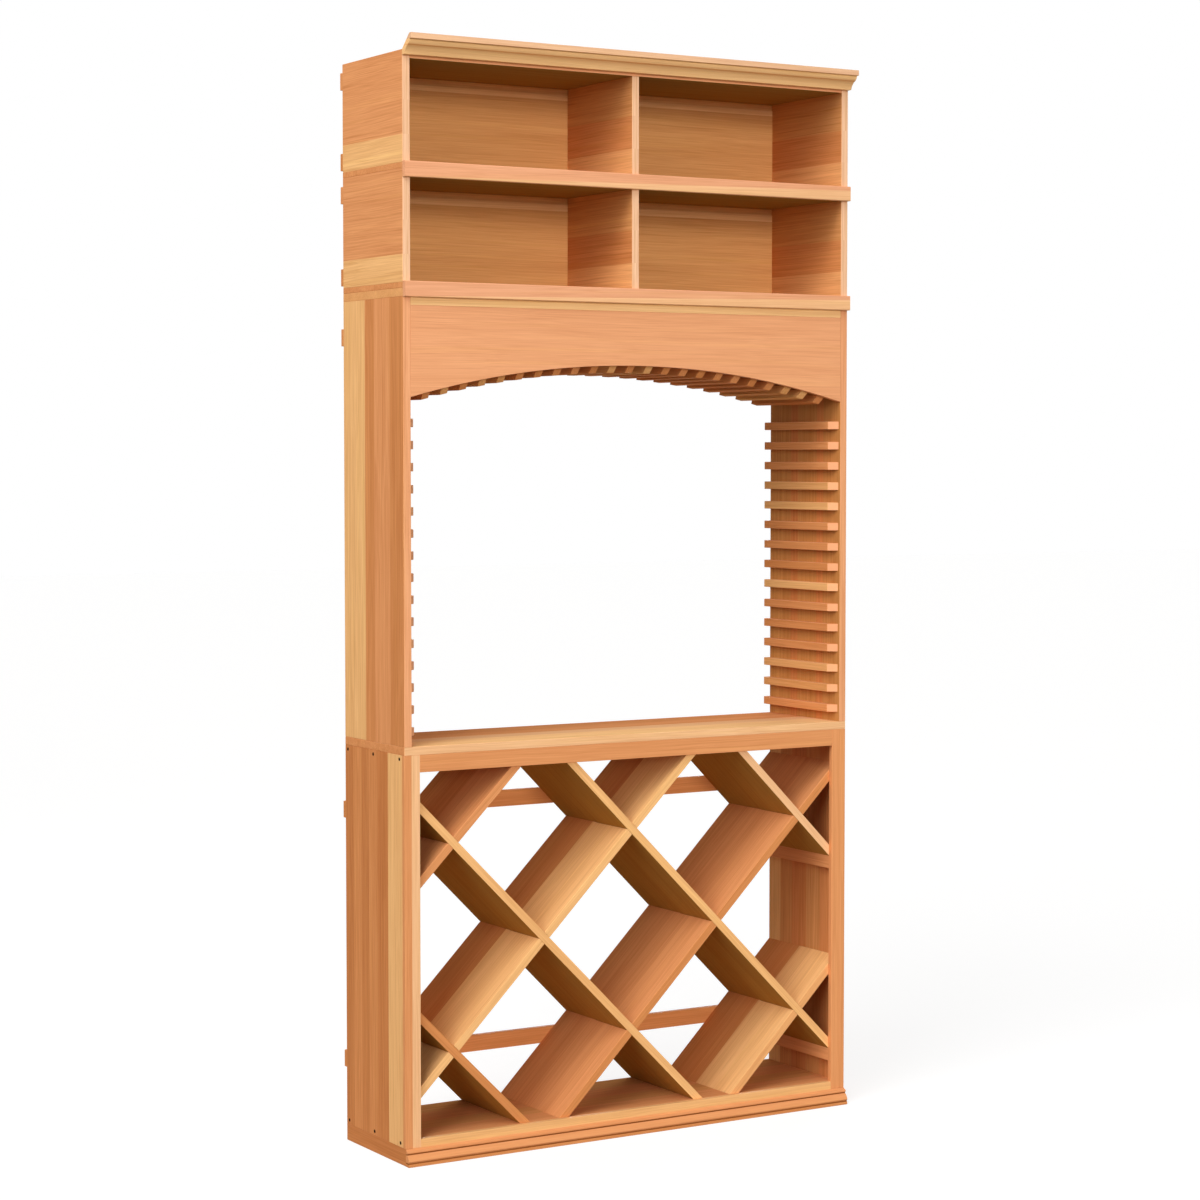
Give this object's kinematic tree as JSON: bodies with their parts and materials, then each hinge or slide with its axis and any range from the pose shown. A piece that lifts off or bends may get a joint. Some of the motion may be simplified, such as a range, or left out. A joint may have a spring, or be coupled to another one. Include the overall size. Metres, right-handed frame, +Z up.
{
  "type": "wine tasting station",
  "caption": "Tall free-standing wine tasting station: diagonal bottle lattice below, table top, arched slatted serving space, open case bins and a crown moulding above.",
  "frame": {"origin": "on the floor, under the middle of the bounding box", "axes": "+X to the right seen from the front, +Y to the wall behind, +Z up"},
  "size_m": [1.2192, 0.3556, 2.5347],
  "materials": {
    "front_redwood": "planed, unfinished, fine straight grain",
    "side_redwood": "planed, unfinished, joined staves",
    "shelf_redwood": "planed, unfinished",
    "lattice_redwood": "planed, unfinished, two staves",
    "slat_redwood": "planed, unfinished",
    "back_redwood": "sawn, unfinished",
    "dark_screw": "blackened steel"
  },
  "bodies": {
    "root": {"arch_batten": "back_redwood", "arch_cap": "shelf_redwood", "arch_front_rib": "slat_redwood", "arch_left_side": "side_redwood", "arch_rear_rib": "slat_redwood", "arch_right_side": "side_redwood", "arch_sub_top": "shelf_redwood", "arch_valance": "front_redwood", "base_lower_batten": "back_redwood", "base_moulding": "front_redwood", "base_upper_batten": "back_redwood", "bottom_rail": "front_redwood", "cabinet_floor": "shelf_redwood", "cabinet_top": "shelf_redwood", "ceiling_slats": "slat_redwood", "crown_moulding": "front_redwood", "falling_lattice_board_1": "lattice_redwood", "falling_lattice_board_2": "lattice_redwood", "falling_lattice_board_3": "lattice_redwood", "falling_lattice_board_4": "lattice_redwood", "left_end_panel": "side_redwood", "left_lower_ledger": "lattice_redwood", "left_screws": "dark_screw", "left_skid": "side_redwood", "left_slats": "slat_redwood", "left_stile": "front_redwood", "left_upper_ledger": "lattice_redwood", "lower_bin_back": "back_redwood", "lower_bin_divider": "side_redwood", "lower_bin_floor": "shelf_redwood", "lower_bin_high_batten": "back_redwood", "lower_bin_left_side": "side_redwood", "lower_bin_low_batten": "back_redwood", "lower_bin_right_side": "side_redwood", "lower_bin_top": "shelf_redwood", "lower_lip": "front_redwood", "right_end_panel": "side_redwood", "right_lower_ledger": "lattice_redwood", "right_screws": "dark_screw", "right_skid": "side_redwood", "right_slats": "slat_redwood", "right_stile": "front_redwood", "right_upper_ledger": "lattice_redwood", "rising_lattice_board_1": "lattice_redwood", "rising_lattice_board_2": "lattice_redwood", "rising_lattice_board_3": "lattice_redwood", "rising_lattice_board_4": "lattice_redwood", "table_top": "shelf_redwood", "top_rail": "front_redwood", "upper_bin_back": "back_redwood", "upper_bin_divider": "side_redwood", "upper_bin_floor": "shelf_redwood", "upper_bin_high_batten": "back_redwood", "upper_bin_left_side": "side_redwood", "upper_bin_low_batten": "back_redwood", "upper_bin_right_side": "side_redwood", "upper_bin_top": "shelf_redwood", "upper_lip": "front_redwood"}
  },
  "joints": []
}
